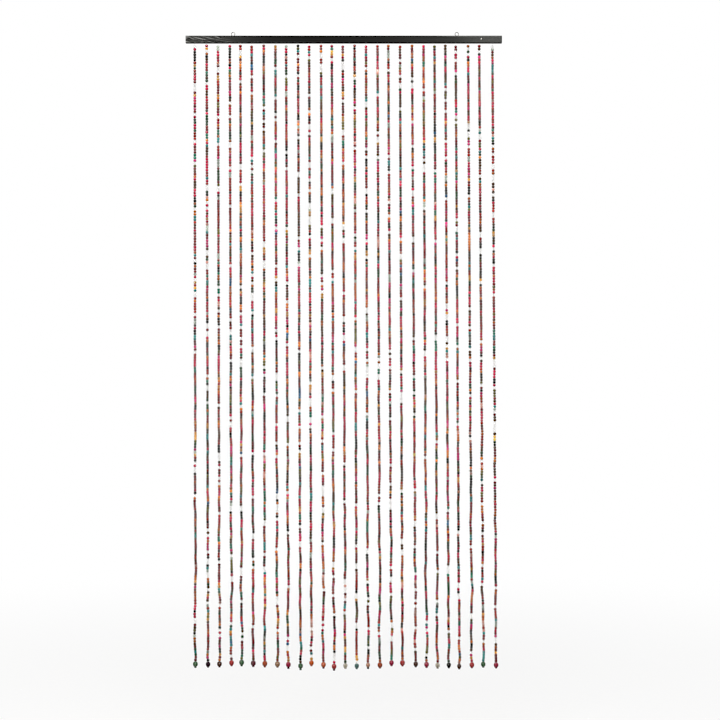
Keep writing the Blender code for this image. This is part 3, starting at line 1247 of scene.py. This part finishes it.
@dataclass
class EndBead:
    """The larger bead at the end of a strand, a smooth oval turned round its bore."""

    number: int
    bore: float = 1.15 * MM
    widest: float = 0.055
    low_power: float = 0.65
    tilt: float = math.radians(3.0)
    around: int = 28
    rows: int = 17
    crease: float = math.radians(50.0)

    def outline(self, bore: float) -> Array:
        """Rows of radius and height, from the bore's upper rim down to its lower one.

        Radius is the sine of the row's turn and height its cosine, drawn longer below the
        widest row than above it. Below that row the radius is the sine to a power less than
        one, so that the bead is fuller there.

        Args:
            bore: the bore's radius as a share of the bead's.

        Returns:
            The rows, for a bead of radius one and half height one.
        """
        rim = math.asin(bore)
        turn = np.linspace(rim, math.pi - rim, self.rows)
        rise = np.cos(turn) / math.cos(rim)
        reach = np.where(rise > 0, 1 - self.widest, 1 + self.widest)
        radius = np.sin(turn) ** np.where(rise > 0, 1.0, self.low_power)
        return np.stack([radius, self.widest + rise * reach], axis=-1)

    def build(self, materials: dict[str, bpy.types.Material]) -> bpy.types.Object:
        """Make the bead to fill its solid's box.

        Args:
            materials: the end beads' finishes by slot.

        Returns:
            The piece, in place of its solid.
        """
        node = f"end_bead_{self.number:02d}"
        slot = NODE_SLOTS[node]
        low, high = (np.array(corner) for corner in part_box(node))
        middle = (low + high) / 2
        radius = (high[0] - low[0]) / 2
        turn = self.number * GOLDEN_TURN
        lean = self.tilt * math.sin(3 * turn)
        axis = unit(np.array([lean * math.cos(turn), lean * math.sin(turn), 1.0]))
        batch = BeadBatch(
            middles=middle[None, :],
            axes=axis[None, :],
            radii=np.array([radius]),
            half_heights=np.array([(high[2] - low[2]) / 2]),
            outlines=self.outline(self.bore / radius)[None],
            spins=np.array([turn]),
            tints=full_colour(END_TINTS[slot])[None, :],
            finishes=np.array([0]),
            around=self.around,
        )
        skin = Skin()
        _, places = batch.add_to(skin)
        piece = skin.make(f"drop_bead_{self.number:02d}", [materials[slot]], self.crease)
        write_values(piece, "bead_place", PointValue.PLACE, places)
        fit(piece, slot, node)
        return piece


# The batten and its screw eyes

@dataclass
class Batten:
    """The painted strip, with rounded edges and a stepped hole for each string."""

    hole_places: Array
    edge: float = 0.9 * MM
    edge_steps: int = 4
    window: float = 4.5 * MM
    cells: int = 6
    plain_steps: int = 3
    side_steps: int = 6
    recess: float = 2.6 * MM
    recess_depth: float = 5.0 * MM
    bore: float = 1.2 * MM
    rim: float = 0.25 * MM
    rim_ease: float = 0.3
    crease: float = math.radians(40.0)

    def __post_init__(self) -> None:
        """Read the strip's length, depth and height off its solid."""
        low, high = (np.array(corner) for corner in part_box("batten"))
        self.half_length = (high[0] - low[0]) / 2
        self.half_depth = (high[1] - low[1]) / 2
        self.height = high[2] - low[2]
        self.ticks = np.linspace(-self.window, self.window, self.cells + 1)

    @property
    def row_points(self) -> int:
        """How many points the section has along the top, and along the bottom."""
        return self.cells + 3

    @property
    def bottom_start(self) -> int:
        """The place in the section where its bottom row starts."""
        return self.row_points + 2 * (self.edge_steps - 1) + self.side_steps + 1

    def outline(self) -> Array:
        """The strip's section as rows of y and z: back along the top, down, forward and up.

        Each flat is a row of evenly spaced points. Each corner is a quarter circle between
        two flats.

        Returns:
            The closed section, starting at the front of the top face.
        """
        deep = self.half_depth - self.edge
        across = np.concatenate([[-deep], self.ticks, [deep]])
        top = np.stack([across, np.zeros_like(across)], axis=-1)
        down = np.linspace(-self.edge, -self.height + self.edge, self.side_steps + 1)
        back = np.stack([np.full_like(down, self.half_depth), down], axis=-1)
        bottom = np.stack([across[::-1], np.full_like(across, -self.height)], axis=-1)
        front = np.stack([np.full_like(down, -self.half_depth), down[::-1]], axis=-1)
        turn = np.linspace(0.0, math.pi / 2, self.edge_steps + 1)[1:-1]
        sine = self.edge * np.sin(turn)
        cosine = self.edge * np.cos(turn)
        low = self.height - self.edge
        top_back = np.stack([deep + sine, -self.edge + cosine], axis=-1)
        low_back = np.stack([deep + cosine, -low - sine], axis=-1)
        low_front = np.stack([-deep - sine, -low - cosine], axis=-1)
        top_front = np.stack([-deep - cosine, -self.edge + sine], axis=-1)
        return np.concatenate([top, top_back, back, low_back, bottom, low_front, front, top_front])

    def stations(self) -> tuple[Array, Array, Array]:
        """Places along the strip where its section is repeated.

        Returns:
            The places, how far each section is drawn in, and the first place of each window.
        """
        turn = np.linspace(0.0, math.pi / 2, self.edge_steps + 1)
        end = self.half_length - self.edge * (1 - np.cos(turn))
        drawn_in = self.edge * (1 - np.sin(turn))
        windows = self.hole_places[:, None] + self.ticks[None, :]
        inner = self.half_length - self.edge
        starts = np.concatenate([[-inner], windows[:, -1]])
        stops = np.concatenate([windows[:, 0], [inner]])
        shares = np.arange(1, self.plain_steps + 1) / (self.plain_steps + 1)
        plain = starts[:, None] + (stops - starts)[:, None] * shares[None, :]
        middle = np.concatenate([np.concatenate([plain[:-1], windows], axis=1).ravel(), plain[-1]])
        places = np.concatenate([-end, middle, end[::-1]])
        insets = np.concatenate([drawn_in, np.zeros(len(middle)), drawn_in[::-1]])
        per_hole = self.plain_steps + self.cells + 1
        first = len(end) + np.arange(len(self.hole_places)) * per_hole + self.plain_steps
        return places, insets, first

    def hole_rings(self, skin: Skin, grid: Array, first: Array) -> None:
        """Join the top and bottom windows through each stepped hole.

        The window's edge points, clockwise from above, give the directions of every ring. The
        rings run from the window's edge to the recess, down it, across its floor, down the
        bore and out to the lower window.

        Args:
            skin: the strip's mesh.
            grid: the point numbers of the sections along the strip.
            first: the first station of each window.
        """
        n = self.cells
        rising = np.arange(n)
        falling = np.arange(n, 0, -1)
        near = np.zeros(n, int)
        far = np.full(n, n)
        along = np.concatenate([far, falling, near, rising])
        across = np.concatenate([falling, near, rising, far])
        upper = grid[first[:, None] + along, 1 + across]
        lower = grid[first[:, None] + along, self.bottom_start + self.row_points - 2 - across]
        directions = unit(np.stack([self.ticks[along], self.ticks[across]], axis=-1))
        rim = self.rim
        eased = rim * self.rim_ease
        floor = -self.recess_depth
        steps = np.array([
            (self.recess + rim, 0.0),
            (self.recess + eased, -eased),
            (self.recess, -rim),
            (self.recess, floor),
            (self.bore + rim, floor),
            (self.bore, floor - rim),
            (self.bore, -self.height + rim),
            (self.bore + rim, -self.height),
        ])
        radii, heights = steps.T
        points = np.empty((len(first), len(steps), len(along), 3))
        points[..., 0] = self.hole_places[:, None, None] + radii[:, None] * directions[:, 0]
        points[..., 1] = radii[:, None] * directions[:, 1]
        points[..., 2] = heights[:, None]
        rings = skin.add_points(points)
        rows = np.concatenate([upper[:, None, :], rings, lower[:, None, :]], axis=1)
        skin.add_faces(ring_faces(rows))

    def build(self, material: bpy.types.Material) -> bpy.types.Object:
        """Make the strip as one closed piece.

        A section drawn in by some distance is the outline scaled towards its middle, so that
        its flats lie that distance further in.

        Args:
            material: its paint.

        Returns:
            The piece, in place of its solid.
        """
        outline = self.outline()
        places, insets, first = self.stations()
        middle = np.array([0.0, -self.height / 2])
        halves = np.array([self.half_depth, self.height / 2])
        scale = 1 - insets[:, None] / halves[None, :]
        sections = middle + (outline - middle)[None, :, :] * scale[:, None, :]
        along = np.broadcast_to(places[:, None, None], (*sections.shape[:2], 1))
        skin = Skin()
        grid = skin.add_points(np.concatenate([along, sections], axis=-1))
        faces = ring_faces(grid)
        kept = np.ones(faces.shape[:2], bool)
        rows = (first[:, None] + np.arange(self.cells)).ravel()
        for start in (0, self.bottom_start):
            columns = start + 1 + np.arange(self.cells)
            kept[np.ix_(rows, columns)] = False
        skin.add_faces(faces[kept])
        skin.close_ends(grid)
        self.hole_rings(skin, grid, first)
        piece = skin.make("batten_dressed", [material], self.crease)
        fit(piece, "batten_paint", "batten")
        return piece


@dataclass
class ScrewEye:
    """A screw eye of bent wire: an open ring, a short neck and a threaded shank."""

    node: str
    turn: float = 0.0
    wire: float = 0.85 * MM
    ring: float = 5.0 * MM
    neck: float = 1.7 * MM
    gap_angle: float = math.radians(-48.0)
    shank: float = 11.0 * MM
    thread_pitch: float = 1.3 * MM
    thread_start: float = 1.0 * MM
    thread_cut: float = 0.16
    point: float = 2.5 * MM
    point_tip: float = 0.08
    ring_steps: int = 64
    neck_steps: int = 10
    shank_steps: int = 70
    sides: int = 14
    crease: float = math.radians(55.0)

    def path(self, rise: float) -> Array:
        """The wire's middle in its own plane, as x and z, from the open end to the point.

        The ring is an arc about (0, rise). The neck is an arc that touches it and the shank's
        straight line at x = 0.

        Args:
            rise: the height of the ring's middle over the batten.

        Returns:
            Rows of x and z.
        """
        last = FULL_TURN - math.acos(-self.neck / (self.ring + self.neck))
        turn = np.linspace(self.gap_angle, last, self.ring_steps)
        ring = np.stack([np.cos(turn), np.sin(turn)], axis=-1) * self.ring + np.array([0.0, rise])
        neck_z = rise + (self.ring + self.neck) * math.sin(last)
        neck_middle = np.array([-self.neck, neck_z])
        bend = np.linspace(last - math.pi, 0.0, self.neck_steps + 1)[1:]
        neck = np.stack([np.cos(bend), np.sin(bend)], axis=-1) * self.neck + neck_middle
        down = np.linspace(neck_z, -self.shank, self.shank_steps + 1)[1:]
        return np.concatenate([ring, neck, np.stack([np.zeros_like(down), down], axis=-1)])

    def build(self, material: bpy.types.Material) -> bpy.types.Object:
        """Make the eye as one piece.

        The shank's radius is less where its angle and its height, in thread pitches, add up
        to a whole turn, and it narrows to a point at the end.

        Args:
            material: its steel.

        Returns:
            The piece, in place of its solid.
        """
        low, high = (np.array(corner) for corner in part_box(self.node))
        middle = (low + high) / 2
        flat = self.path(high[2] - self.ring - self.wire)
        place = np.array([middle[0], middle[1], 0.0])
        forward = np.array([math.cos(self.turn), math.sin(self.turn), 0.0])
        path = place + flat[:, :1] * forward + flat[:, 1:] * np.array([0.0, 0.0, 1.0])
        angles = angles_round(self.sides)
        depth = np.clip(-flat[:, 1], 0.0, None)
        wave = np.cos(angles[None, :] + depth[:, None] * FULL_TURN / self.thread_pitch)
        started = np.clip(depth / self.thread_start, 0.0, 1.0)[:, None]
        narrowed = np.clip((self.shank - depth) / self.point, self.point_tip, 1.0)[:, None]
        radii = self.wire * (1.0 - self.thread_cut * started * (0.5 + 0.5 * wave)) * narrowed
        skin = Skin()
        sweep(skin, path, radii, self.sides)
        piece = skin.make(f"{self.node}_wire", [material], self.crease)
        fit(piece, "eye_steel", self.node)
        return piece


# Floor, light and camera

class SoftBox(NamedTuple):
    """A square lamp: where it is and points, in metres, its size, power in watts, and tint."""

    name: str
    place: Point
    aim: Point
    size: float
    power: float
    tint: Colour


@dataclass
class Studio:
    """A pale floor, soft light from both sides and above, and a camera square to the curtain."""

    frame_width: float = 2.0506
    aim: Point = (0.0462, 0.0, -0.92237)
    lens: float = 70.0
    sensor: float = 36.0
    floor_height: float = -2.020
    floor_half: float = 18.0
    floor_tone: Colour = (0.94, 0.935, 0.925)
    unseen_tone: Colour = (0.10, 0.10, 0.10)
    speckle_scale: float = 60.0
    speckle_band: Band = (0.3, 0.7)
    least_speckle: float = 0.96
    fade_start: float = 0.4
    fade_end: float = 4.0
    least_fade: float = 0.60
    boxes: tuple[SoftBox, ...] = (
        SoftBox("key", (-2.0, -3.1, 0.6), (0.0, 0.0, -0.95), 0.7, 71.0, (1.0, 0.985, 0.96)),
        SoftBox("fill", (2.4, -2.9, 0.1), (0.0, 0.0, -0.95), 1.4, 30.0, (0.96, 0.98, 1.0)),
        SoftBox("glint", (-0.5, -3.0, -0.55), (0.0, 0.0, -1.6), 0.45, 37.0, (1.0, 1.0, 0.98)),
        SoftBox("ceiling", (0.0, -1.2, 1.5), (0.0, 0.0, -0.30), 0.8, 40.0, (1.0, 0.99, 0.97)),
    )
    seen_world: float = 1.0
    mirrored_world: float = 0.04
    world_fill: float = 0.34
    sharpening: float = 0.013

    def build(self) -> None:
        """Set up the whole studio."""
        bpy.context.scene.view_settings.view_transform = "Standard"
        self.add_sharpening()
        self.add_camera()
        self.add_floor()
        self.add_world()
        for box in self.boxes:
            self.add_lamp(box)

    def add_sharpening(self) -> None:
        """Sharpen the finished picture slightly, as a small camera does."""
        scene = bpy.context.scene
        scene.use_nodes = True
        scene.node_tree.nodes.clear()
        recipe = Recipe(scene.node_tree)
        taken = recipe.add("CompositorNodeRLayers", {})
        inputs = {"Fac": self.sharpening, "Image": taken.outputs["Image"]}
        sharp = recipe.add("CompositorNodeFilter", inputs, filter_type="SHARPEN")
        recipe.add("CompositorNodeComposite", {"Image": sharp.outputs[0]})

    def add_camera(self) -> None:
        """Place the camera so that its frame has the set width at the curtain."""
        data = bpy.data.cameras.new("camera")
        data.lens = self.lens
        data.sensor_width = self.sensor
        camera = bpy.data.objects.new("camera", data)
        distance = self.frame_width * self.lens / self.sensor
        camera.location = (self.aim[0], -distance, self.aim[2])
        camera.rotation_euler = (math.pi / 2, 0.0, 0.0)
        bpy.context.scene.collection.objects.link(camera)
        bpy.context.scene.camera = camera

    def add_floor(self) -> None:
        """Lay a pale floor that fades into the white surround further out."""
        material, recipe = new_material("pale_floor")
        away = recipe.length_of(recipe.place())
        fade = recipe.spread(away, self.fade_start, self.fade_end, self.least_fade, 1.0)
        seen = recipe.seen_directly(recipe.add("ShaderNodeLightPath", {}))
        figure = recipe.noise(recipe.place(), self.speckle_scale, detail=3.0)
        speckle = recipe.spread(figure, *self.speckle_band, self.least_speckle, 1.0)
        tone = recipe.mixed(1.0, self.floor_tone, speckle, "MULTIPLY")
        matt = recipe.add("ShaderNodeBsdfDiffuse", {"Color": tone})
        glow = recipe.add("ShaderNodeEmission", {"Color": WHITE, "Strength": self.seen_world})
        dim = recipe.add("ShaderNodeBsdfDiffuse", {"Color": (*self.unseen_tone, 1.0)})
        shown = recipe.add("ShaderNodeMixShader", {0: fade, 1: matt.outputs[0], 2: glow.outputs[0]})
        both = recipe.add("ShaderNodeMixShader", {0: seen, 1: dim.outputs[0], 2: shown.outputs[0]})
        recipe.add("ShaderNodeOutputMaterial", {"Surface": both.outputs[0]})
        half = self.floor_half
        corners = np.array([[-half, -half], [half, -half], [half, half], [-half, half]])
        skin = Skin()
        numbers = skin.add_points(np.column_stack([corners, np.full(4, self.floor_height)]))
        skin.add_faces(numbers[None, :])
        skin.make("floor", [material], math.pi)

    def add_world(self) -> None:
        """Surround the scene with white as seen, and with a dimmer room in reflections."""
        world = bpy.data.worlds.new("surround")
        bpy.context.scene.world = world
        world.use_nodes = True
        world.node_tree.nodes.clear()
        recipe = Recipe(world.node_tree)
        path = recipe.add("ShaderNodeLightPath", {})
        glossy = path.outputs["Is Glossy Ray"]
        unseen = recipe.spread(glossy, 0.0, 1.0, self.world_fill, self.mirrored_world)
        inputs = {MIX_SHARE: recipe.seen_directly(path), MIX_LOW: unseen, MIX_HIGH: self.seen_world}
        strength = recipe.add("ShaderNodeMix", inputs, data_type="FLOAT").outputs[0]
        glow = recipe.add("ShaderNodeBackground", {"Color": WHITE, "Strength": strength})
        recipe.add("ShaderNodeOutputWorld", {"Surface": glow.outputs[0]})

    def add_lamp(self, box: SoftBox) -> None:
        """Hang one soft box, unseen by the camera itself.

        The lamp shines along its own -Z. It is tipped by the angle between straight down and
        its aim, and then turned about the vertical towards the aim.

        Args:
            box: the lamp.
        """
        data = bpy.data.lights.new(box.name, "AREA")
        data.size = box.size
        data.energy = box.power
        data.color = box.tint
        lamp = bpy.data.objects.new(box.name, data)
        lamp.location = box.place
        towards = np.array(box.aim) - np.array(box.place)
        flat = math.hypot(towards[0], towards[1])
        lamp.rotation_euler = (math.atan2(flat, -towards[2]), 0.0, math.atan2(-towards[0], towards[1]))
        lamp.visible_camera = False
        bpy.context.scene.collection.objects.link(lamp)


def bead_plastics() -> list[bpy.types.Material]:
    """The small beads' finishes, in the order of BeadBody.

    Returns:
        One material for each body.
    """
    return [
        BeadGloss(f"bead_{body.name.lower()}", see_through=body.see_through).material()
        for body in BeadBody
    ]


def end_plastics() -> dict[str, bpy.types.Material]:
    """The end beads' finishes, one for each slot that an end bead has.

    Returns:
        The materials by slot.
    """
    finishes = {}
    for slot in sorted({slot for node, slot in NODE_SLOTS.items() if node.startswith("end_bead")}):
        see_through = END_SEE_THROUGH.get(slot, 0.0)
        finishes[slot] = BeadGloss(f"end_{slot}", END_TINTS[slot], see_through).material()
    return finishes


def main() -> None:
    """Build the curtain's pieces in order and set up the studio."""
    logging.basicConfig(level=logging.INFO, format="%(name)s: %(message)s")
    make_marbling()
    make_scuffs()
    Studio().build()
    lines = [HangLine.of_strand(number) for number in range(1, STRAND_COUNT + 1)]
    hole_places = np.array([line.middles[0, 0] for line in lines])
    Batten(hole_places).build(BattenPaint().material())
    steel = EyeSteel().material()
    ScrewEye("eye_left").build(steel)
    ScrewEye("eye_right", turn=RIGHT_EYE_TURN).build(steel)
    plastics = bead_plastics()
    nylon = DrawnNylon().material()
    end_finishes = end_plastics()
    for number, line in enumerate(lines, start=1):
        BeadString(number, line).build(plastics)
        NylonString(number, line).build(nylon)
        EndBead(number).build(end_finishes)


if __name__ == "__main__":
    main()
